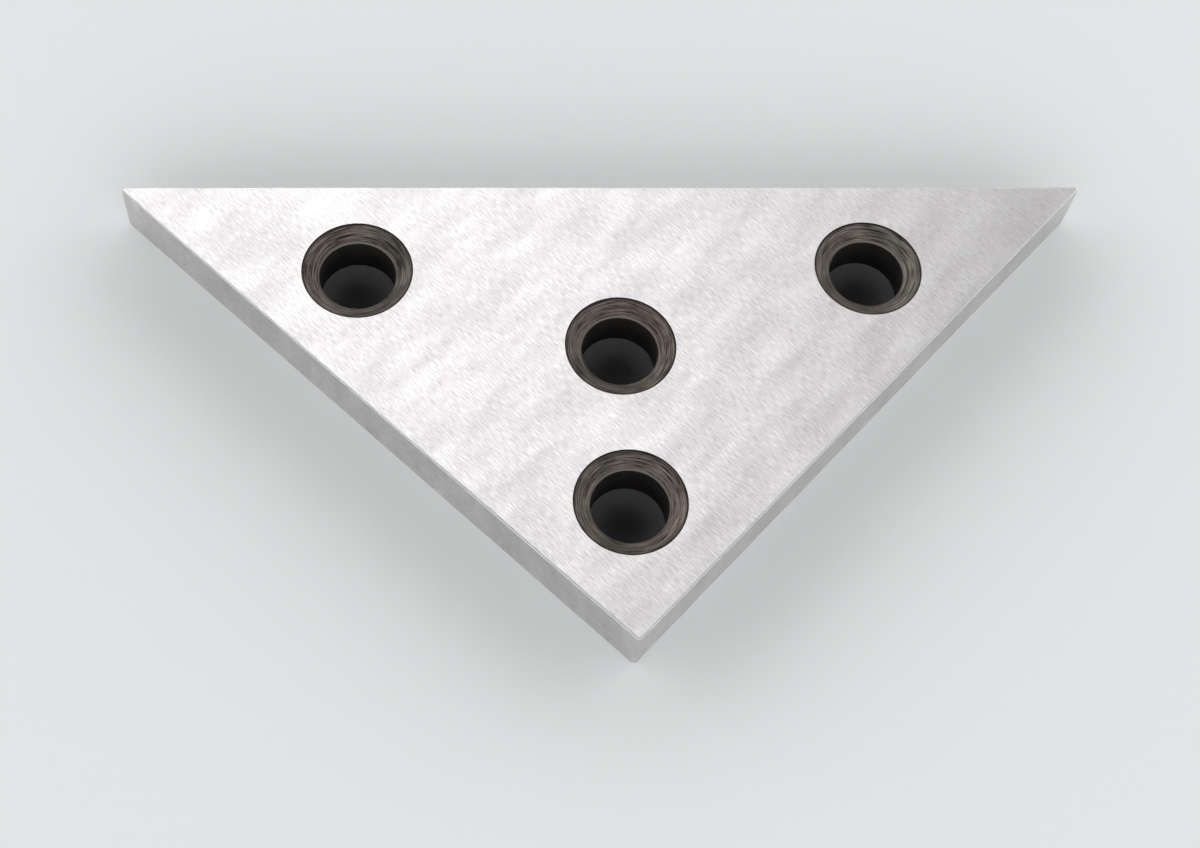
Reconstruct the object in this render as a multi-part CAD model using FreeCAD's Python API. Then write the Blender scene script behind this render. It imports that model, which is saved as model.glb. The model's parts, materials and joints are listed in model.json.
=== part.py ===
import FreeCAD, Part
import math
import os

# A machinist's setup block: a 45-45-90 triangle of hardened and ground tool steel, with four
# countersunk through holes. It is one piece, ground on both faces and on all three sides.
#
# Frame: millimetres, +Z up. The block lies on one of its large ground faces, at z = 0.
# X runs along the long side, and the square corner points towards -Y.
# The origin is the centre of the lower face's bounding rectangle.

# The triangle
LEG_LENGTH = 90.0             # each of the two short sides, measured to the sharp corners
ACUTE_ANGLE = 45.0            # degrees, between the long side and each short side
THICKNESS = 8.0

# What the oilstone takes off the ground edges and tips
EDGE_BREAK = 0.25             # 45 degree break along the outline of both faces
ACUTE_TIP_FLAT = 0.6          # width of the blunt flat on each acute tip
SQUARE_TIP_FLAT = 0.5         # width of the blunt flat on the square tip

# The holes
HOLE_DIAMETER = 9.7           # clears a 3/8 inch clamping bolt
COUNTERSINK_DIAMETER = 14.1   # measured at the face
COUNTERSINK_ANGLE = 118.0     # degrees, across the whole cone: a drill's point
CORNER_HOLE_MARGIN = 12.7     # from a corner hole's axis to both sides of its corner
MIDDLE_HOLE_MARGIN = 24.0     # from the middle hole's axis to the long side

OVERSHOOT = 1.0               # how far each cutter runs past the steel that it removes

# The triangle's other measures follow from its legs and its angle.
HALF_LONG_SIDE = LEG_LENGTH * math.cos(math.radians(ACUTE_ANGLE))
TRIANGLE_DEPTH = LEG_LENGTH * math.sin(math.radians(ACUTE_ANGLE))
SQUARE_TIP_HALF_ANGLE = 90.0 - ACUTE_ANGLE


def tip_cut(flat_width, half_angle):
    """Distance from a sharp tip to its blunt flat, along the line that halves the corner."""
    return flat_width / 2 / math.tan(math.radians(half_angle))


# The square tip's flat shortens the bounding rectangle, and the origin lies at its centre.
BLUNTED_DEPTH = TRIANGLE_DEPTH - tip_cut(SQUARE_TIP_FLAT, SQUARE_TIP_HALF_ANGLE)
LONG_SIDE_Y = BLUNTED_DEPTH / 2

# Each corner: its sharp point, the direction that halves it and points into the steel
# (degrees from +X), half its angle in degrees, and the width of its blunt flat.
CORNERS = [
    (
        FreeCAD.Vector(-HALF_LONG_SIDE, LONG_SIDE_Y, 0),
        -ACUTE_ANGLE / 2,
        ACUTE_ANGLE / 2,
        ACUTE_TIP_FLAT,
    ),
    (
        FreeCAD.Vector(HALF_LONG_SIDE, LONG_SIDE_Y, 0),
        180 + ACUTE_ANGLE / 2,
        ACUTE_ANGLE / 2,
        ACUTE_TIP_FLAT,
    ),
    (
        FreeCAD.Vector(0, LONG_SIDE_Y - TRIANGLE_DEPTH, 0),
        90,
        SQUARE_TIP_HALF_ANGLE,
        SQUARE_TIP_FLAT,
    ),
]


def sharp_plate():
    """The ground triangle, before anything is taken off its edges."""
    points = [point for point, inward, half_angle, flat_width in CORNERS]
    outline = Part.makePolygon(points + points[:1])
    return Part.Face(outline).extrude(FreeCAD.Vector(0, 0, THICKNESS))


def break_edges(plate):
    """Chamfer the outline of both faces, and leave the upright corner edges alone."""
    outline_edges = [edge for edge in plate.Edges if edge.BoundBox.ZLength < EDGE_BREAK]
    return plate.makeChamfer(EDGE_BREAK, outline_edges)


def tip_cutter(point, inward, half_angle, flat_width):
    """A box whose inner side lies on the flat of one tip."""
    depth = tip_cut(flat_width, half_angle)
    width = flat_width + 2 * OVERSHOOT
    height = THICKNESS + 2 * OVERSHOOT
    cutter = Part.makeBox(depth + OVERSHOOT, width, height)
    cutter.translate(FreeCAD.Vector(-OVERSHOOT, -width / 2, -OVERSHOOT))
    cutter.rotate(FreeCAD.Vector(0, 0, 0), FreeCAD.Vector(0, 0, 1), inward)
    cutter.translate(point)
    return cutter


def hole_centres():
    """One hole in each corner, equally far from both of its sides, and one behind the long side."""
    centres = []
    for point, inward, half_angle, flat_width in CORNERS:
        distance = CORNER_HOLE_MARGIN / math.sin(math.radians(half_angle))
        direction = math.radians(inward)
        centres.append(point + FreeCAD.Vector(math.cos(direction), math.sin(direction), 0) * distance)
    centres.append(FreeCAD.Vector(0, LONG_SIDE_Y - MIDDLE_HOLE_MARGIN, 0))
    return centres


def countersink_cutter(centre, face_height, outward):
    """A drill's point that has sunk into one face: outward is +1 for the top, -1 for the bottom."""
    slope = math.tan(math.radians(COUNTERSINK_ANGLE / 2))
    point_depth = COUNTERSINK_DIAMETER / 2 / slope
    cone_height = point_depth + OVERSHOOT
    tip = centre + FreeCAD.Vector(0, 0, face_height - outward * point_depth)
    return Part.makeCone(0, cone_height * slope, cone_height, tip, FreeCAD.Vector(0, 0, outward))


def hole_cutters(centre):
    """The through drill, and the countersink from each face."""
    start = centre - FreeCAD.Vector(0, 0, OVERSHOOT)
    drill = Part.makeCylinder(HOLE_DIAMETER / 2, THICKNESS + 2 * OVERSHOOT, start)
    return [
        drill,
        countersink_cutter(centre, THICKNESS, 1),
        countersink_cutter(centre, 0, -1),
    ]


def setup_block():
    """The whole block: grind the triangle, break its edges, blunt its tips and make the holes."""
    cutters = [tip_cutter(*corner) for corner in CORNERS]
    for centre in hole_centres():
        cutters += hole_cutters(centre)
    return break_edges(sharp_plate()).cut(cutters)


os.makedirs("parts", exist_ok=True)
block = setup_block()
block.exportStep("parts/setup_block.step")
print("setup_block:", len(block.Solids), "solid, valid", block.isValid())
print("volume", round(block.Volume, 1), "mm3, box", block.BoundBox)
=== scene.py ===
# %% [markdown]
# # A machinist's setup block
#
# A setup block is a thick triangle of hardened tool steel. It is ground flat on both faces and
# square on its sides, so that work can be set on a machine table at exactly 45 or 90 degrees.
# Four countersunk holes let it be bolted down.
#
# The solid model already has the true sizes. This lesson dresses it: the same block is modelled
# once more with the small things that light picks out, such as stoned edges and the rings that a
# countersink cuts, and each surface gets the finish that its own tool leaves.

# %% Load the solid model as a fixed frame
import json
import math
import random

import bmesh
import bpy
from mathutils import Matrix, Vector


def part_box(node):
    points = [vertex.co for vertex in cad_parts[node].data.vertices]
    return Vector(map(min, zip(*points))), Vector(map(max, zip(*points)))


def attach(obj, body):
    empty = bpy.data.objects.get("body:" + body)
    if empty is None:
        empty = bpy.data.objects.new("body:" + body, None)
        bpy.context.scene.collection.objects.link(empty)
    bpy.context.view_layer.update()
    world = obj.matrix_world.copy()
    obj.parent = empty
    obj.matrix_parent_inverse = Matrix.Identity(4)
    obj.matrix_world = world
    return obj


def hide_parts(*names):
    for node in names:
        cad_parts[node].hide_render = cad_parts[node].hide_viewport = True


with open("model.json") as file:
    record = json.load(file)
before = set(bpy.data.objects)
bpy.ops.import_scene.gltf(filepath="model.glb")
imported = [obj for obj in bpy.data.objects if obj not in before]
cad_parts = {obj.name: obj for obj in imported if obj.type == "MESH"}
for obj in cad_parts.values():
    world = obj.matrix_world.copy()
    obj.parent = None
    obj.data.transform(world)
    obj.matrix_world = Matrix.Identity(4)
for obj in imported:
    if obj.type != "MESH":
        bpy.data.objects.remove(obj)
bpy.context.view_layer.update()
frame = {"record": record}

# %% [markdown]
# ## Sizes
#
# Blender counts in metres, but a machinist thinks in millimetres, so the sizes are written as
# millimetres times MM. The place of the block and its thickness come from the solid model's box,
# and the holes' places, radii and wall lengths from its mounts. The leg, the angle, the flats,
# the edge break and the countersink are written again here, so a change to one of them in the
# solid model has to be made here too.

# %% Name the sizes
MM = 0.001

LEG_LENGTH = 90 * MM
ACUTE_ANGLE = math.radians(45)
ACUTE_TIP_FLAT = 0.6 * MM
SQUARE_TIP_FLAT = 0.5 * MM
EDGE_BREAK = 0.25 * MM
COUNTERSINK_RADIUS = 7.05 * MM

low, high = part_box("setup_block")
thickness = high[2] - low[2]
mid_height = (high[2] + low[2]) / 2
half_long_side = LEG_LENGTH * math.cos(ACUTE_ANGLE)
triangle_depth = LEG_LENGTH * math.sin(ACUTE_ANGLE)

holes = [mount for mount in frame["record"]["mounts"] if mount["kind"] == "bore"]
print(f"{thickness / MM:.2f} mm thick, {2 * half_long_side / MM:.2f} mm along the long side,",
      f"{len(holes)} holes")

# %% [markdown]
# ## Camera
#
# The camera stands close, a quarter of a metre away, and looks down steeply, as someone does who
# checks a block before using it. Being this close makes the near corner look larger. The camera
# is tilted a little about its own line of sight, so that the long side lies level in the picture.

# %% Place the camera
CAMERA_PLACE = Vector((-24.8, -112.1, 218.5)) * MM
CAMERA_AIM = Vector((-3.2, -3.4, 8.0)) * MM
CAMERA_LENS = 58               # millimetres, on a 36 mm wide sensor
CAMERA_ROLL = math.radians(9.33)

camera_data = bpy.data.cameras.new("camera")
camera_data.lens = CAMERA_LENS
camera_data.sensor_width = 36
camera_data.clip_start = 0.01
camera = bpy.data.objects.new("camera", camera_data)
bpy.context.collection.objects.link(camera)

facing = (CAMERA_AIM - CAMERA_PLACE).to_track_quat("-Z", "Y").to_matrix().to_4x4()
camera.matrix_world = (
    Matrix.Translation(CAMERA_PLACE) @ facing @ Matrix.Rotation(CAMERA_ROLL, 4, "Z")
)
bpy.context.scene.camera = camera
print("camera distance in mm:", round((CAMERA_AIM - CAMERA_PLACE).length / MM))

# %% [markdown]
# ## Colours and nodes
#
# Paint charts and pictures give colours as sRGB hex values, but Blender's nodes work with linear
# light. One function turns the first into the second. Another adds a node, sets its values and
# joins its inputs, so that a material reads as a short list of what it is made of.
#
# Inputs are named, or numbered where several share a name. A Mix node's factor is 0, its two
# numbers are 2 and 3, and its two colours are 6 and 7.

# %% Two helpers for materials
def linear(hex_colour):
    """The linear RGBA value of an sRGB colour such as #C8CACC."""
    parts = [int(hex_colour[i:i + 2], 16) / 255 for i in (1, 3, 5)]
    return [p / 12.92 if p <= 0.04045 else ((p + 0.055) / 1.055) ** 2.4 for p in parts] + [1.0]


def add(tree, kind, links=None, values=None, **settings):
    """Adds a node. Links join its inputs to other sockets, values set them, and settings are its
    own options."""
    node = tree.nodes.new(kind)
    for name, value in settings.items():
        setattr(node, name, value)
    for name, value in (values or {}).items():
        node.inputs[name].default_value = value
    for name, socket in (links or {}).items():
        tree.links.new(socket, node.inputs[name])
    return node


print("a mid grey, #808080, is", round(linear("#808080")[0], 3), "in linear light")

# %% [markdown]
# ## Floor and light
#
# Bright steel has almost no colour of its own: it shows what stands around it. Here that is one
# large softbox, behind the block and to its left, and a room with white walls and a grey ceiling.
# The upper face mirrors the softbox on its left half and the ceiling on its right, and that slow
# change from bright to grey is what tells the eye that the face is flat, smooth metal. The broken
# edges lean outwards, so they mirror the white walls and draw a thin bright line round the face.
#
# The floor is a plain pale sheet. It is lit from the sides, by the walls alone, so little light
# falls straight down the holes and they stay as dark as they are on a bench. The walls light matt
# surfaces about three times as strongly as they look, which makes up for the unlit ceiling: a
# level matt surface renders at its written colour, and an upright one somewhat lighter.

# %% Lay the floor
FLOOR_SIZE = 6.0               # metres
FLOOR_GAP = 0.02 * MM          # keeps the floor from lying in the same plane as the lower face

floor_material = bpy.data.materials.new("matt pale paper")
floor_material.use_nodes = True
floor_shader = floor_material.node_tree.nodes["Principled BSDF"]
floor_shader.inputs["Base Color"].default_value = linear("#E2E4E5")
floor_shader.inputs["Roughness"].default_value = 0.9
floor_shader.inputs["Specular IOR Level"].default_value = 0.1

floor_mesh = bpy.data.meshes.new("floor")
bm = bmesh.new()
bmesh.ops.create_grid(bm, x_segments=1, y_segments=1, size=FLOOR_SIZE / 2)
bmesh.ops.translate(bm, verts=bm.verts, vec=(0, 0, low[2] - FLOOR_GAP))
bm.to_mesh(floor_mesh)
bm.free()
floor_mesh.materials.append(floor_material)
floor = bpy.data.objects.new("floor", floor_mesh)
bpy.context.collection.objects.link(floor)
print("floor laid", FLOOR_GAP / MM, "mm below the block")

# %% Hang the softbox and light the room
SOFTBOX_PLACE = Vector((-0.20, 0.47, 0.62))   # metres, as are its width and length
SOFTBOX_WIDTH = 0.8
SOFTBOX_LENGTH = 0.75
SOFTBOX_POWER = 2.0            # watts
WALL_LOOK = 1.0                # how bright the walls look, to the camera and in the metal
CEILING_LOOK = 0.62
WALL_LIGHT = 3.2               # how strongly the walls light matt surfaces
CEILING_LIGHT = 0.0
WALL_TOP = 0.35                # the sine of the angle above level at which the wall starts to fade
CEILING_EDGE = 0.75            # and of that at which the ceiling is reached

softbox_data = bpy.data.lights.new("softbox", "AREA")
softbox_data.shape = "RECTANGLE"
softbox_data.size = SOFTBOX_WIDTH
softbox_data.size_y = SOFTBOX_LENGTH
softbox_data.energy = SOFTBOX_POWER
softbox = bpy.data.objects.new("softbox", softbox_data)
towards_block = (-SOFTBOX_PLACE).to_track_quat("-Z", "Y").to_matrix().to_4x4()
softbox.matrix_world = Matrix.Translation(SOFTBOX_PLACE) @ towards_block
bpy.context.collection.objects.link(softbox)
softbox.visible_diffuse = False   # it shows in the metal, but leaves the floor to the walls

world = bpy.data.worlds.new("pale room")
bpy.context.scene.world = world
world.use_nodes = True
tree = world.node_tree
tree.nodes.clear()
ray = add(tree, "ShaderNodeLightPath")
seen = add(tree, "ShaderNodeMath",
           {0: ray.outputs["Is Camera Ray"], 1: ray.outputs["Is Glossy Ray"]}, operation="MAXIMUM")
direction = add(tree, "ShaderNodeTexCoord").outputs["Generated"]
upward = add(tree, "ShaderNodeSeparateXYZ", {"Vector": direction}).outputs["Z"]
fade = {"From Min": WALL_TOP, "From Max": CEILING_EDGE}
look = add(tree, "ShaderNodeMapRange", {"Value": upward},
           {**fade, "To Min": WALL_LOOK, "To Max": CEILING_LOOK})
light = add(tree, "ShaderNodeMapRange", {"Value": upward},
            {**fade, "To Min": WALL_LIGHT, "To Max": CEILING_LIGHT})
strength = add(tree, "ShaderNodeMix",
               {0: seen.outputs[0], 2: light.outputs[0], 3: look.outputs[0]})
room = add(tree, "ShaderNodeBackground", {"Strength": strength.outputs[0]},
           {"Color": (1.0, 1.0, 1.0, 1.0)})
add(tree, "ShaderNodeOutputWorld", {"Surface": room.outputs[0]})
bpy.context.scene.view_settings.view_transform = "Standard"
print("softbox", SOFTBOX_WIDTH, "by", SOFTBOX_LENGTH, "m,",
      round(SOFTBOX_PLACE.length, 2), "m away")

# %% [markdown]
# ## The plate
#
# The blank is cut as a triangle, ground, and then touched with an oilstone: its long edges are
# broken so that they don't nick a finger or a table, and its three tips are blunted. In Blender
# that is the same order of work. A triangular face is extruded to the thickness, its upright
# edges are bevelled to flats, and its outline is bevelled to narrow, slightly rounded breaks.
# A bevel whose offset is the width of the new face gives a tip flat of exactly the right size.

# %% Extrude the triangle
def upright(edge):
    """True for an edge that runs straight up and down."""
    return abs(edge.verts[0].co.z - edge.verts[1].co.z) > thickness / 2


bm = bmesh.new()
long_side_y = high[1]
sharp_corners = [
    (-half_long_side, long_side_y, low[2]),
    (0.0, long_side_y - triangle_depth, low[2]),
    (half_long_side, long_side_y, low[2]),
]
lower_face = bm.faces.new([bm.verts.new(corner) for corner in sharp_corners])
made = bmesh.ops.extrude_face_region(bm, geom=[lower_face], use_keep_orig=True)
raised = [item for item in made["geom"] if isinstance(item, bmesh.types.BMVert)]
bmesh.ops.translate(bm, verts=raised, vec=(0, 0, thickness))
bmesh.ops.recalc_face_normals(bm, faces=bm.faces)
print("blank:", len(bm.faces), "faces")

# %% Blunt the tips and break the edges
for flat_width, is_acute in ((ACUTE_TIP_FLAT, True), (SQUARE_TIP_FLAT, False)):
    tips = [e for e in bm.edges if upright(e) and (e.verts[0].co.y > long_side_y - MM) == is_acute]
    bmesh.ops.bevel(bm, geom=tips, affect="EDGES", offset=flat_width, offset_type="WIDTH",
                    segments=1, profile=0.5, material=-1)

outline = [edge for edge in bm.edges if not upright(edge)]
bmesh.ops.bevel(bm, geom=outline, affect="EDGES", offset=EDGE_BREAK, offset_type="OFFSET",
                segments=3, profile=0.5, material=-1)
print("blunted plate:", len(bm.faces), "faces,", len(outline), "edges broken")

# %% [markdown]
# ## The holes
#
# A drilled and countersunk hole is a surface of revolution, so half of its section is drawn once
# and spun round its axis. The section runs from the rim on the upper face, down the cone, down
# the bore, and out along the lower cone.
#
# A countersink turned by hand never comes out smooth. It chatters and leaves rings, a few tenths
# of a millimetre apart and a hundredth deep. They are modelled, because under one soft light they
# are what makes the cone look cut rather than moulded. The edge between cone and bore is dulled a
# little.

# %% Draw the hole's half section and spin it
RING_PITCH = 0.3 * MM          # from one tool mark to the next, along the cone
RING_DEPTH = 0.011 * MM
BORE_EDGE = 0.12 * MM          # the dulled edge where cone and bore meet
TURNS = 96                     # flats round each hole, too small to see
chance = random.Random(4)


def cone_points(bore_radius, wall_top):
    """The upper cone's section, from the rim in to the dulled edge, with a notch at each ring."""
    rim = Vector((COUNTERSINK_RADIUS, 0, high[2]))
    edge = Vector((bore_radius + BORE_EDGE, 0, wall_top + BORE_EDGE * (high[2] - wall_top)
                   / (COUNTERSINK_RADIUS - bore_radius)))
    down = (edge - rim).normalized()
    into_steel = Vector((-down.z, 0, down.x))
    count = round((edge - rim).length / RING_PITCH)
    points = [rim]
    for i in range(count):
        # A notch lies near the middle of its ring, and is a fifth of RING_DEPTH deep or more.
        ridge = rim.lerp(edge, (i + 1) / count)
        notch = rim.lerp(edge, (i + chance.uniform(0.35, 0.65)) / count)
        points.append(notch + into_steel * RING_DEPTH * chance.uniform(0.2, 1.0))
        points.append(ridge)
    return points


def cut_hole(bm, mount):
    """Spins one hole's section round its axis, and returns how many bands of faces that made."""
    axis = Vector(mount["pos_m"])
    bore_radius = mount["dims"]["r_mm"] * MM
    wall_top = axis.z + mount["dims"]["length_mm"] * MM / 2
    upper = cone_points(bore_radius, wall_top)
    upper.append(Vector((bore_radius, 0, wall_top - BORE_EDGE)))
    lower = [Vector((p.x, 0, 2 * mid_height - p.z)) for p in reversed(upper)]
    verts = [bm.verts.new(p + Vector((axis.x, axis.y, 0))) for p in upper + lower]
    edges = [bm.edges.new(pair) for pair in zip(verts, verts[1:])]
    bmesh.ops.spin(bm, geom=verts + edges, cent=axis, axis=(0, 0, 1), angle=math.tau,
                   steps=TURNS, use_merge=True)
    return len(edges)


for mount in holes:
    bands = cut_hole(bm, mount)
print(len(holes), "holes,", bands, "bands of", TURNS, "faces each")

# %% [markdown]
# ## The two ground faces
#
# The plate still has a whole face above and below, with the holes' surfaces hanging inside it.
# Each face is taken away, which leaves the outline and four rims as open edges in one plane, and
# a triangle fill closes exactly the region between them. The rims and the outline share their
# vertices with the fill, so the block comes out as one closed skin.

# %% Open both faces and fill round the holes
IN_PLANE = 0.02 * MM           # a point nearer to a plane than this lies in it
NEARLY_LEVEL = 0.9             # the upright part of a normal, above which its face is nearly level


def lies_in(edge, height):
    """True for an edge in the plane at this height."""
    return all(abs(vert.co.z - height) < IN_PLANE for vert in edge.verts)


def nearly_level(face):
    """True for a face that is level or leans only a little."""
    return abs(face.normal.z) > NEARLY_LEVEL


whole_faces = [face for face in bm.faces if len(face.verts) > 4 and nearly_level(face)]
bmesh.ops.delete(bm, geom=whole_faces, context="FACES_ONLY")
for height in (low[2], high[2]):
    open_edges = [edge for edge in bm.edges if edge.is_boundary and lies_in(edge, height)]
    bmesh.ops.triangle_fill(bm, edges=open_edges, use_beauty=True)
bmesh.ops.recalc_face_normals(bm, faces=bm.faces)

open_edges = [edge for edge in bm.edges if not edge.is_manifold]
print("filled:", len(bm.faces), "faces,", len(open_edges), "open edges,",
      "volume", round(bm.calc_volume() / MM ** 3), "cubic mm")

# %% [markdown]
# ## Which tool left which surface
#
# Four finishes meet on this block: the grinding wheel's on the faces and sides, the oilstone's on
# the broken edges, and, inside the holes, the countersink's and the drill's, both still covered
# in the black scale of hardening, because the wheel never reached them. Each face of the mesh is
# given the number of its finish. Where two finishes meet, the edge is marked sharp, so that the
# shading breaks there as the metal does.

# %% Give each face its finish
GROUND, STONED, CONE, BORE = range(4)
LEVEL_FROM = 0.999             # the upright part of a normal, above which its face is level
WALL_UP_TO = 0.1               # and below which its face is a wall
SHARP_TURN = math.radians(40)  # an edge that turns more than this breaks the shading too


def nearest_axis(point):
    """The axis of the hole that lies nearest to a point, level with it."""
    axes = [Vector((mount["pos_m"][0], mount["pos_m"][1], point.z)) for mount in holes]
    return min(axes, key=lambda axis: (axis - point).length)


def finish_of(face):
    """The finish of a face, from where it lies and which way it points."""
    middle = face.calc_center_median()
    is_wall = abs(face.normal.z) < WALL_UP_TO
    if abs(face.normal.z) > LEVEL_FROM:
        return GROUND
    if (nearest_axis(middle) - middle).length < COUNTERSINK_RADIUS:
        return BORE if is_wall else CONE
    return GROUND if is_wall else STONED


bm.normal_update()
for face in bm.faces:
    face.material_index = finish_of(face)
    face.smooth = face.material_index != GROUND
for edge in bm.edges:
    finishes = {face.material_index for face in edge.link_faces}
    edge.smooth = len(finishes) == 1 and edge.calc_face_angle(0) < SHARP_TURN
counts = [sum(face.material_index == finish for face in bm.faces)
          for finish in (GROUND, STONED, CONE, BORE)]
print("faces ground, stoned, cone, bore:", counts)

# %% [markdown]
# ## A map that follows the tools
#
# The marks of a tool run along its path, so the patterns need coordinates that do too. One UV map
# in millimetres serves every finish. On a ground surface, U runs along the wheel's strokes and V
# across them: slantwise over the two large faces, which were ground side by side on a magnetic
# table, and lengthwise along each side. In a hole, U is the distance from its axis and V the
# height, so a ring on the cone is simply a place where U stays the same.

# %% Lay the map
STROKE_ANGLE = math.radians(-47)   # the wheel's path across the large faces, from the long side
MAP_NAME = "tool path, mm"

stroke = Vector((math.cos(STROKE_ANGLE), math.sin(STROKE_ANGLE), 0))
path_map = bm.loops.layers.uv.new(MAP_NAME)
for face in bm.faces:
    in_hole = face.material_index in (CONE, BORE)
    lengthwise = Vector((-face.normal.y, face.normal.x, 0)).normalized()
    along = stroke if nearly_level(face) else lengthwise
    across = face.normal.cross(along)
    for loop in face.loops:
        place = loop.vert.co
        if in_hole:
            from_axis = (place - nearest_axis(place)).length
            loop[path_map].uv = Vector((from_axis, place.z)) / MM
        else:
            loop[path_map].uv = Vector((place.dot(along), place.dot(across))) / MM
print("map laid on", sum(len(face.loops) for face in bm.faces), "corners")

# %% Make the mesh an object
block_mesh = bpy.data.meshes.new("dressed_block")
bm.to_mesh(block_mesh)
bm.free()
block = bpy.data.objects.new("dressed_block", block_mesh)
bpy.context.collection.objects.link(block)
print("dressed block:", len(block_mesh.polygons), "faces")

# %% [markdown]
# ## Surface-ground, hardened tool steel
#
# The wheel leaves thousands of fine parallel scratches. Across them the surface is rough and
# along them it is smooth, which is what Anisotropic is for: a light is drawn out across the
# strokes. A quarter turn of Anisotropic Rotation puts that the right way round on this map.
#
# Three sizes of mark are laid over each other: short fine strokes, long single scratches, and
# the broad faint bands that a wheel leaves when it chatters, which lie across the strokes. The
# real strokes are well under a tenth of a millimetre apart, too fine to show, and are drawn about
# twice as coarse. All three change the colour and the gloss a little, and raise the surface by a
# few thousandths of a millimetre.

# %% Two helpers for marks
def marks(tree, path, size):
    """Noise drawn out into marks, with their millimetres along the tool's path and across it."""
    along, across = size
    stretched = add(tree, "ShaderNodeMapping", {"Vector": path},
                    {"Scale": (1 / along, 1 / across, 1.0)})
    noise = add(tree, "ShaderNodeTexNoise", {"Vector": stretched.outputs[0]},
                {"Scale": 1.0, "Detail": 1.0, "Roughness": 0.6})
    return noise.outputs["Fac"]


def new_material(name):
    """A new material, its node tree, its Principled shader and the tool path's coordinates."""
    material = bpy.data.materials.new(name)
    material.use_nodes = True
    tree = material.node_tree
    path = add(tree, "ShaderNodeUVMap", uv_map=MAP_NAME).outputs["UV"]
    return material, tree, tree.nodes["Principled BSDF"], path


print("marks follow the map", repr(MAP_NAME))

# %% Mix the ground steel
STROKE = (1.2, 0.13)           # millimetres along the tool's path and across it
SCRATCH = (12.0, 0.25)
CHATTER = (4.0, 12.0)
SCRATCH_SHARE = 0.2            # how much of the lines is scratches and not strokes
CHATTER_SHARE = 0.3            # and how much of all the marks is chatter
MARK_RANGE = {"From Min": 0.38, "From Max": 0.62}   # the part of the noise spread from dark to light
ROUGHNESS_SPREAD = 0.06        # how much rougher the darkest marks are than the lightest


def ground_steel(name, dark, light, least_roughness, stroke_height):
    """Steel with the wheel's strokes, which vary between two colours."""
    material, tree, shader, path = new_material(name)
    strokes = marks(tree, path, STROKE)
    scratches = marks(tree, path, SCRATCH)
    chatter = marks(tree, path, CHATTER)
    lines = add(tree, "ShaderNodeMix", {2: strokes, 3: scratches}, {0: SCRATCH_SHARE}).outputs[0]
    surface = add(tree, "ShaderNodeMix", {2: lines, 3: chatter}, {0: CHATTER_SHARE}).outputs[0]
    amount = add(tree, "ShaderNodeMapRange", {"Value": surface}, MARK_RANGE).outputs[0]
    colour = add(tree, "ShaderNodeMix", {0: amount}, {6: linear(dark), 7: linear(light)},
                 data_type="RGBA").outputs[2]
    most_roughness = least_roughness + ROUGHNESS_SPREAD
    roughness = add(tree, "ShaderNodeMapRange", {"Value": amount},
                    {"To Min": most_roughness, "To Max": least_roughness}).outputs[0]
    relief = add(tree, "ShaderNodeBump", {"Height": surface},
                 {"Strength": 1.0, "Distance": stroke_height}).outputs[0]
    along = add(tree, "ShaderNodeTangent", direction_type="UV_MAP", uv_map=MAP_NAME).outputs[0]
    shader.inputs["Metallic"].default_value = 1.0
    shader.inputs["Anisotropic"].default_value = 0.6
    shader.inputs["Anisotropic Rotation"].default_value = 0.25
    tree.links.new(colour, shader.inputs["Base Color"])
    tree.links.new(roughness, shader.inputs["Roughness"])
    tree.links.new(relief, shader.inputs["Normal"])
    tree.links.new(along, shader.inputs["Tangent"])
    return material


ground = ground_steel("surface-ground hardened tool steel", "#B8B6B6", "#D9D7D7",
                      least_roughness=0.27, stroke_height=0.006 * MM)
print("mixed:", ground.name)

# %% [markdown]
# ## Oilstoned edges
#
# The stone is finer than the wheel, so a broken edge is smoother than the face beside it. Its
# colours are painted a little lighter than the face's, a painted highlight, so it shows as a thin
# light line all round the block.

# %% Mix the stoned steel
# Colours lighter than the ground face's: a painted highlight along the broken edges. The lower
# roughness is the stone's real finish.
stoned = ground_steel("oilstoned tool steel edge", "#C4C5C6", "#E0E0E0",
                      least_roughness=0.2, stroke_height=0.004 * MM)
print("mixed:", stoned.name)

# %% [markdown]
# ## Heat scale on the countersinks
#
# Hardening leaves a skin of oxide. On the turned cones it is thin: a dark, warm grey with a faint
# straw or reddish tint in patches, and half worn off along the crests of the rings, where the
# metal shines through. It is still mostly metal to the eye, but rough. A fine dark ring is painted
# just inside the rim as painted shade along the rim's edge, and a fine light ring is painted at
# the bore's edge as a painted highlight on the dulled edge.
# The rings come from noise in three directions. One is the distance from the axis, which changes
# fast and so draws the rings. The other two are the place on the block, which changes slowly and
# breaks each ring into arcs.

# %% Mix the scaled cone
RING_WIDTH = 0.08              # millimetres, as the tool path's map counts
ARC_LENGTH = 3.0               # how far a ring runs before it fades into the next
RIM_SHADE_STARTS = 0.35            # how far inside the rim the painted shade starts
RIM_SHADE_FULL = 0.1               # and how far inside it is full
EDGE_HIGHLIGHT_STARTS = 0.25           # how far outside the bore the painted highlight starts
EDGE_HIGHLIGHT_FULL = 0.13             # and how far outside it is full
PATCH_SIZE = 4.0 * MM          # metres, as object coordinates count
PATCH_SHARE = 0.35             # how much of the wear is patches and not rings
WORN_RANGE = {"From Min": 0.4, "From Max": 0.68}    # the part spread from scale to bare metal
TEMPER_SCALE = 75.0            # the tint changes about every 13 millimetres
EVEN_RANGE = {"From Min": 0.35, "From Max": 0.65}   # the part spread evenly over two colours
SKIN_RELIEF = 0.01 * MM


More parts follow.
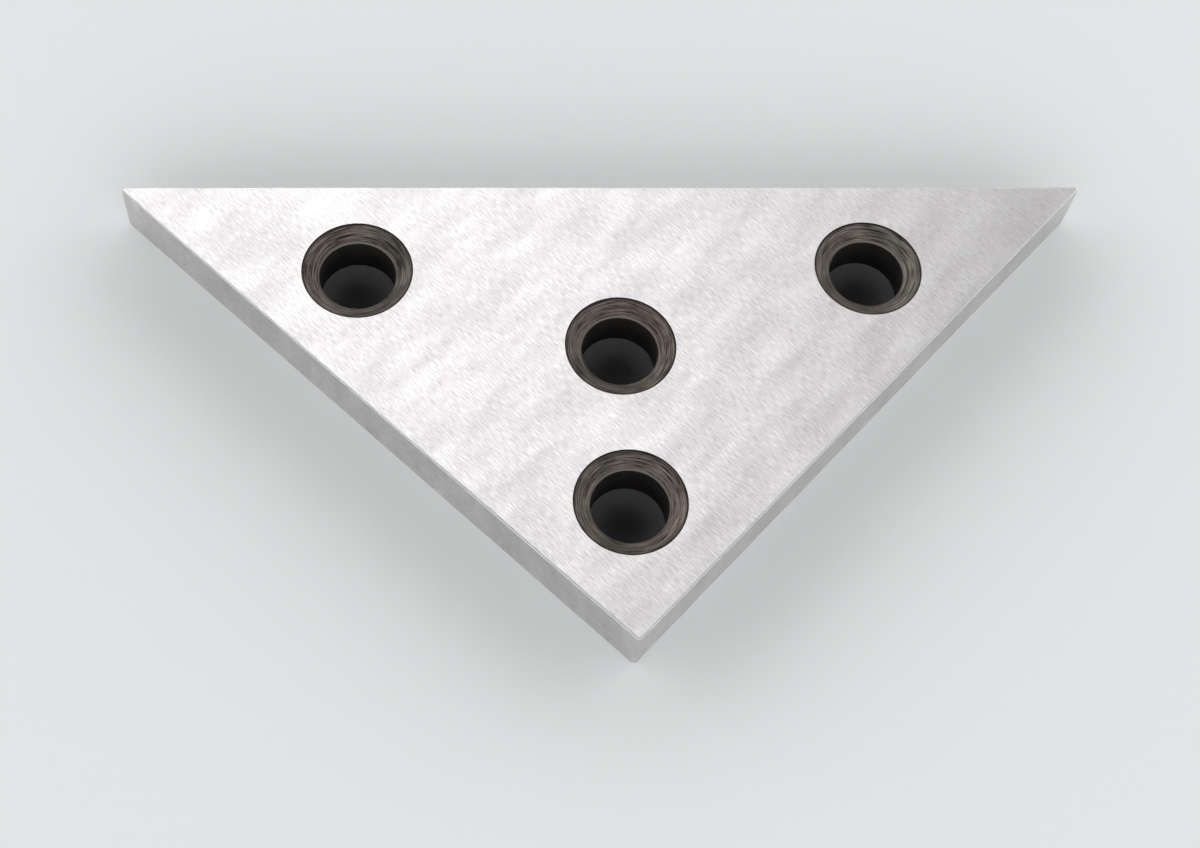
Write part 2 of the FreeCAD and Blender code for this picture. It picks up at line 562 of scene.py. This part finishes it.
def scaled_cone_with_painted_light():
    """The countersinks' surface: rings by distance from the axis, and patches by place."""
    material, tree, shader, path = new_material("brown heat scale on turned steel")
    place = add(tree, "ShaderNodeTexCoord").outputs["Object"]
    radius = add(tree, "ShaderNodeSeparateXYZ", {"Vector": path}).outputs[0]
    bore_radius = holes[0]["dims"]["r_mm"]
    rim = COUNTERSINK_RADIUS / MM

    on_block = add(tree, "ShaderNodeSeparateXYZ", {"Vector": place}).outputs
    turned = add(tree, "ShaderNodeCombineXYZ", {0: radius, 1: on_block[0], 2: on_block[1]})
    in_rings = add(tree, "ShaderNodeMapping", {"Vector": turned.outputs[0]},
                   {"Scale": (1 / RING_WIDTH, 1 / (ARC_LENGTH * MM), 1 / (ARC_LENGTH * MM))})
    rings = add(tree, "ShaderNodeTexNoise", {"Vector": in_rings.outputs[0]},
                {"Scale": 1.0, "Detail": 1.0}).outputs["Fac"]
    patches = add(tree, "ShaderNodeTexNoise", {"Vector": place},
                  {"Scale": 1 / PATCH_SIZE, "Detail": 4.0, "Roughness": 0.7}).outputs["Fac"]
    worn = add(tree, "ShaderNodeMix", {2: rings, 3: patches}, {0: PATCH_SHARE}).outputs[0]
    amount = add(tree, "ShaderNodeMapRange", {"Value": worn}, WORN_RANGE).outputs[0]
    scale = add(tree, "ShaderNodeMix", {0: amount}, {6: linear("#2A2725"), 7: linear("#8C8680")},
                data_type="RGBA").outputs[2]

    temper = add(tree, "ShaderNodeTexNoise", {"Vector": place},
                 {"Scale": TEMPER_SCALE, "Detail": 1.0}).outputs["Fac"]
    redness = add(tree, "ShaderNodeMapRange", {"Value": temper}, EVEN_RANGE).outputs[0]
    tint = add(tree, "ShaderNodeMix", {0: redness}, {6: linear("#F4F4EA"), 7: linear("#FFF0ED")},
               data_type="RGBA").outputs[2]
    tinted = add(tree, "ShaderNodeMix", {6: scale, 7: tint}, {0: 1.0},
                 data_type="RGBA", blend_type="MULTIPLY").outputs[2]

    # Painted shade: a fine dark ring just inside the rim, where the rim's edge falls into shade.
    rim_shade_mask = add(tree, "ShaderNodeMapRange", {"Value": radius},
                    {"From Min": rim - RIM_SHADE_STARTS, "From Max": rim - RIM_SHADE_FULL}).outputs[0]
    rim_shaded = add(tree, "ShaderNodeMix", {0: rim_shade_mask, 6: tinted}, {7: linear("#1E1C1A")},
                data_type="RGBA").outputs[2]
    # Painted highlight: a fine light ring at the bore's edge, where the dulled edge catches the
    # light.
    bore_edge_highlight_mask = add(tree, "ShaderNodeMapRange", {"Value": radius},
                  {"From Min": bore_radius + EDGE_HIGHLIGHT_STARTS,
                   "From Max": bore_radius + EDGE_HIGHLIGHT_FULL}).outputs[0]
    with_bore_edge_highlight = add(tree, "ShaderNodeMix", {0: bore_edge_highlight_mask, 6: rim_shaded}, {7: linear("#716D69")},
                 data_type="RGBA").outputs[2]
    relief = add(tree, "ShaderNodeBump", {"Height": rings},
                 {"Strength": 1.0, "Distance": SKIN_RELIEF}).outputs[0]
    shader.inputs["Metallic"].default_value = 0.8
    shader.inputs["Roughness"].default_value = 0.42
    tree.links.new(with_bore_edge_highlight, shader.inputs["Base Color"])
    tree.links.new(relief, shader.inputs["Normal"])
    return material


cone_scale_and_painted_light = scaled_cone_with_painted_light()
print("mixed:", cone_scale_and_painted_light.name)

# %% [markdown]
# ## Black scale in the bores
#
# Inside the bores the scale is thick, black and matt. The drill's path is a fine screw thread
# that only shows where light grazes it, so it is drawn by height.

# %% Mix the black scale
DRILL_MARK = (50.0, 0.25)      # millimetres out from the axis and down the bore
BORE_PATCH_SIZE = 2.5 * MM
BORE_PATCH_SHARE = 0.5         # how much of the pattern is patches and not drill marks


def black_scale():
    """The drilled walls: near black, with fine level marks and a slightly uneven colour."""
    material, tree, shader, path = new_material("black heat scale in a drilled hole")
    place = add(tree, "ShaderNodeTexCoord").outputs["Object"]
    drill_marks = marks(tree, path, DRILL_MARK)
    patches = add(tree, "ShaderNodeTexNoise", {"Vector": place},
                  {"Scale": 1 / BORE_PATCH_SIZE, "Detail": 3.0}).outputs["Fac"]
    surface = add(tree, "ShaderNodeMix", {2: drill_marks, 3: patches},
                  {0: BORE_PATCH_SHARE}).outputs[0]
    amount = add(tree, "ShaderNodeMapRange", {"Value": surface}, EVEN_RANGE).outputs[0]
    colour = add(tree, "ShaderNodeMix", {0: amount}, {6: linear("#11100F"), 7: linear("#2B2826")},
                 data_type="RGBA").outputs[2]
    relief = add(tree, "ShaderNodeBump", {"Height": surface},
                 {"Strength": 1.0, "Distance": SKIN_RELIEF}).outputs[0]
    shader.inputs["Metallic"].default_value = 0.3
    shader.inputs["Roughness"].default_value = 0.55
    tree.links.new(colour, shader.inputs["Base Color"])
    tree.links.new(relief, shader.inputs["Normal"])
    return material


bore_scale = black_scale()
print("mixed:", bore_scale.name)

# %% [markdown]
# ## Put the finishes on and hand over
#
# The mesh's slots are in the order of the finishes' numbers. The dressed block stands for the
# solid one and rides on the one body there is.

# %% Dress the block and finish
for material in (ground, stoned, cone_scale_and_painted_light, bore_scale):
    block_mesh.materials.append(material)
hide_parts("setup_block")
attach(block, "root")
